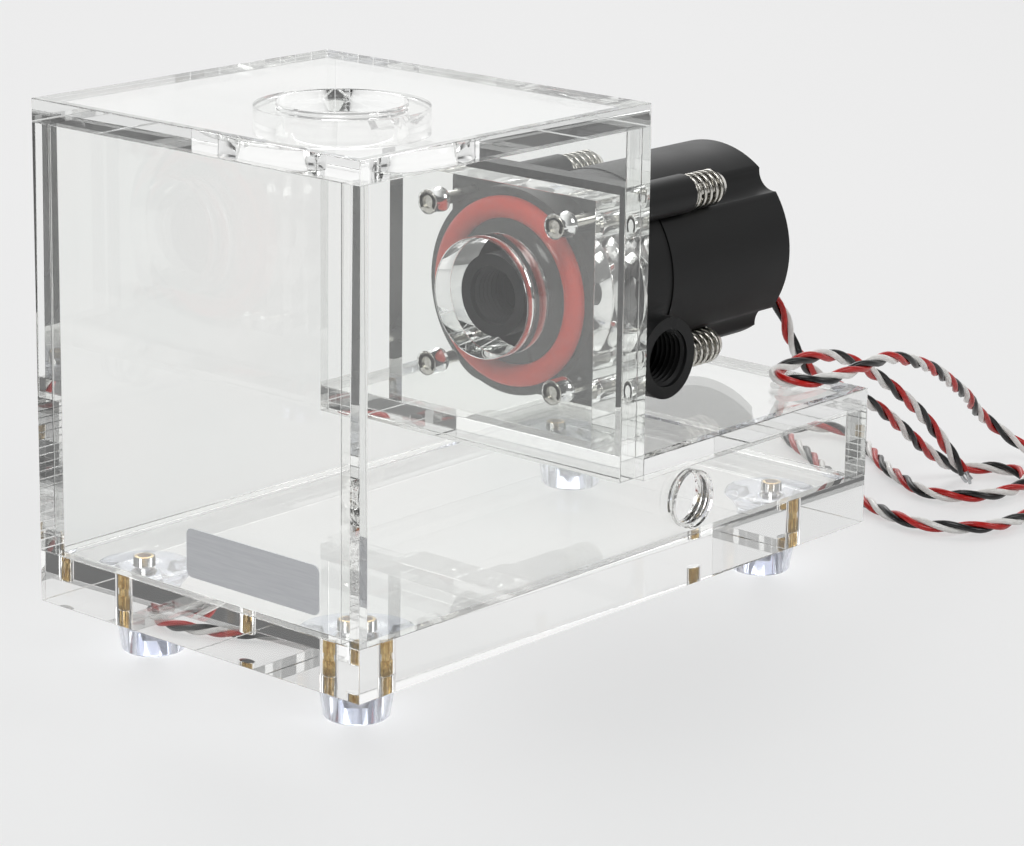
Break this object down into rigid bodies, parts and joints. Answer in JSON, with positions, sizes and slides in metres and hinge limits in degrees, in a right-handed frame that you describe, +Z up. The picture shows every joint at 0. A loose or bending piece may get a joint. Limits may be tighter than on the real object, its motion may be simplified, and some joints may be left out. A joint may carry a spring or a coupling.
{
  "type": "coolant pump reservoir",
  "caption": "Clear bonded acrylic coolant reservoir with a low deck that carries a sprung, screw-mounted circulation pump, soft feet and a loose twisted lead.",
  "frame": {"origin": "on the surface the feet stand on, under the middle of the tank and its label", "axes": "+X from the tall tank's front wall towards the pump's tail, +Y away from the pump's outlet side, +Z up"},
  "size_m": [0.2732, 0.1053, 0.121],
  "materials": {
    "clear_acrylic": "clear cast acrylic, polished",
    "label_grey": "matt grey film, bare",
    "soft_clear": "clear bluish soft polymer",
    "nickel_steel": "nickel plated",
    "brass_insert": "knurled brass",
    "orange_silicone": "orange-red silicone",
    "black_plastic": "black moulded plastic, satin",
    "dark_rubber": "matt black rubber",
    "light_plastic": "moulded, off-white",
    "ferrite": "bonded ferrite, dark grey",
    "ceramic": "ground ceramic",
    "core_steel": "laminated steel",
    "winding_copper": "enamelled copper wire",
    "board_green": "circuit board laminate",
    "lead_insulation": "wire insulation"
  },
  "bodies": {
    "housing": {"base_plate": "clear_acrylic", "front_wall": "clear_acrylic", "near_side_wall": "clear_acrylic", "far_side_wall": "clear_acrylic", "rear_wall": "clear_acrylic", "end_wall": "clear_acrylic", "deck_plate": "clear_acrylic", "top_plate": "clear_acrylic", "fill_collar": "clear_acrylic", "mounting_plate": "clear_acrylic", "blank_label": "label_grey", "foot_front_near": "soft_clear", "foot_front_far": "soft_clear", "foot_rear_near": "soft_clear", "foot_rear_far": "soft_clear", "foot_screws": "nickel_steel", "base_inserts": "brass_insert", "plate_inserts": "nickel_steel", "main_oring": "orange_silicone", "pump_volute": "black_plastic", "motor_can": "black_plastic", "rear_cover": "black_plastic", "lead_grommet": "dark_rubber", "mounting_screws": "nickel_steel", "mounting_springs": "nickel_steel", "pump_shaft": "ceramic", "front_support": "black_plastic", "front_thrust_washer": "ceramic", "rear_thrust_washer": "ceramic", "isolation_cup": "black_plastic", "cup_seal": "dark_rubber", "stator_core": "core_steel", "stator_coils": "winding_copper", "control_board": "board_green", "board_components": "black_plastic", "pump_lead": "lead_insulation"},
    "rotor": {"impeller": "light_plastic", "rotor_magnet": "ferrite", "front_bushing": "ceramic", "rear_bushing": "ceramic"}
  },
  "joints": [
    {"name": "rotor_spin", "type": "hinge", "parent": "housing", "child": "rotor", "pos_m": [0.045, -0.002, 0.0725], "axis": [1, 0, 0], "continuous": true}
  ]
}
